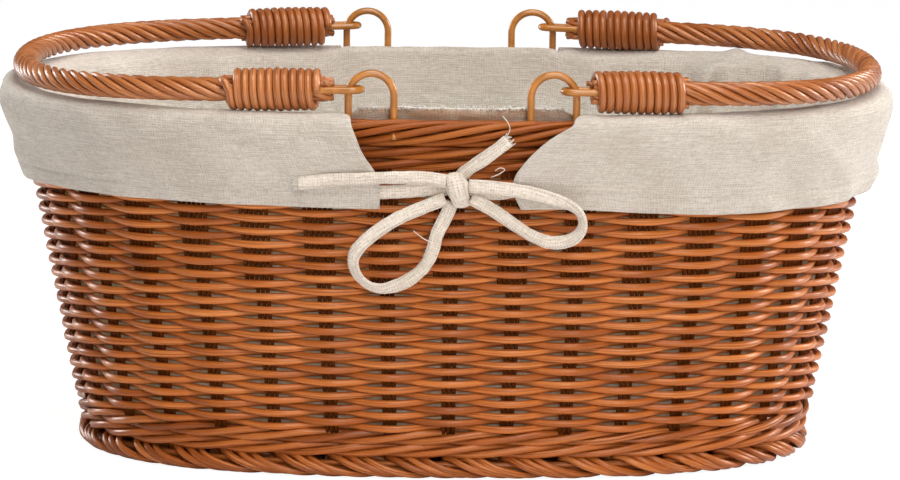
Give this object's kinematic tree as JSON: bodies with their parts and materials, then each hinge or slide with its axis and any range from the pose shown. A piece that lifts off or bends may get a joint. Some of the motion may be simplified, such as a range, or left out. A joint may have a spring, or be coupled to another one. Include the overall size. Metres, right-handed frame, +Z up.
{
  "type": "oval wicker basket with folding hoop handles and tied liner",
  "caption": "Oval woven wicker basket with hinged rope-twist hoop handles on wire staples and a linen liner folded over the rim and tied with a bow, for carrying or storing.",
  "frame": {"origin": "on the floor, under the middle of the basket", "axes": "+X along the basket's length to the right seen from the front, +Y to the back, +Z up; the bow is at the front, towards -Y"},
  "size_m": [0.4102, 0.3019, 0.187],
  "materials": {
    "wicker": "honey-brown stain, glossy",
    "wire": "ochre coating, satin",
    "linen": "oatmeal linen, matte",
    "tape": "sewn linen tape, matte"
  },
  "bodies": {
    "basket": {"base_long_stick_1": "wicker", "base_long_stick_2": "wicker", "base_long_stick_3": "wicker", "base_cross_stick_1": "wicker", "base_cross_stick_2": "wicker", "base_cross_stick_3": "wicker", "base_cross_stick_4": "wicker", "base_cross_stick_5": "wicker", "base_mat": "wicker", "foot_border": "wicker", "base_wale": "wicker", "woven_side": "wicker", "top_wale": "wicker", "rim_border": "wicker", "staple_front_left": "wire", "staple_front_right": "wire", "staple_back_left": "wire", "staple_back_right": "wire", "liner_floor": "linen", "liner_wall": "linen", "liner_cuff": "linen", "tie_band_left": "tape", "tie_band_right": "tape", "tie_tail_left": "tape", "tie_tail_right": "tape", "tie_loop_left": "tape", "tie_loop_right": "tape", "tie_knot": "tape"},
    "handle_left": {"handle_left_rope": "wicker", "handle_left_eye_front": "wire", "handle_left_eye_back": "wire", "handle_left_binding_front": "wicker", "handle_left_binding_back": "wicker"},
    "handle_right": {"handle_right_rope": "wicker", "handle_right_eye_front": "wire", "handle_right_eye_back": "wire", "handle_right_binding_front": "wicker", "handle_right_binding_back": "wicker"}
  },
  "joints": [
    {"name": "handle_left_fold", "type": "hinge", "parent": "basket", "child": "handle_left", "pos_m": [-0.036, 0, 0.17475], "axis": [0, 1, 0], "range_deg": [0, 100]},
    {"name": "handle_right_fold", "type": "hinge", "parent": "basket", "child": "handle_right", "pos_m": [0.044, 0, 0.17475], "axis": [0, -1, 0], "range_deg": [0, 100]}
  ]
}
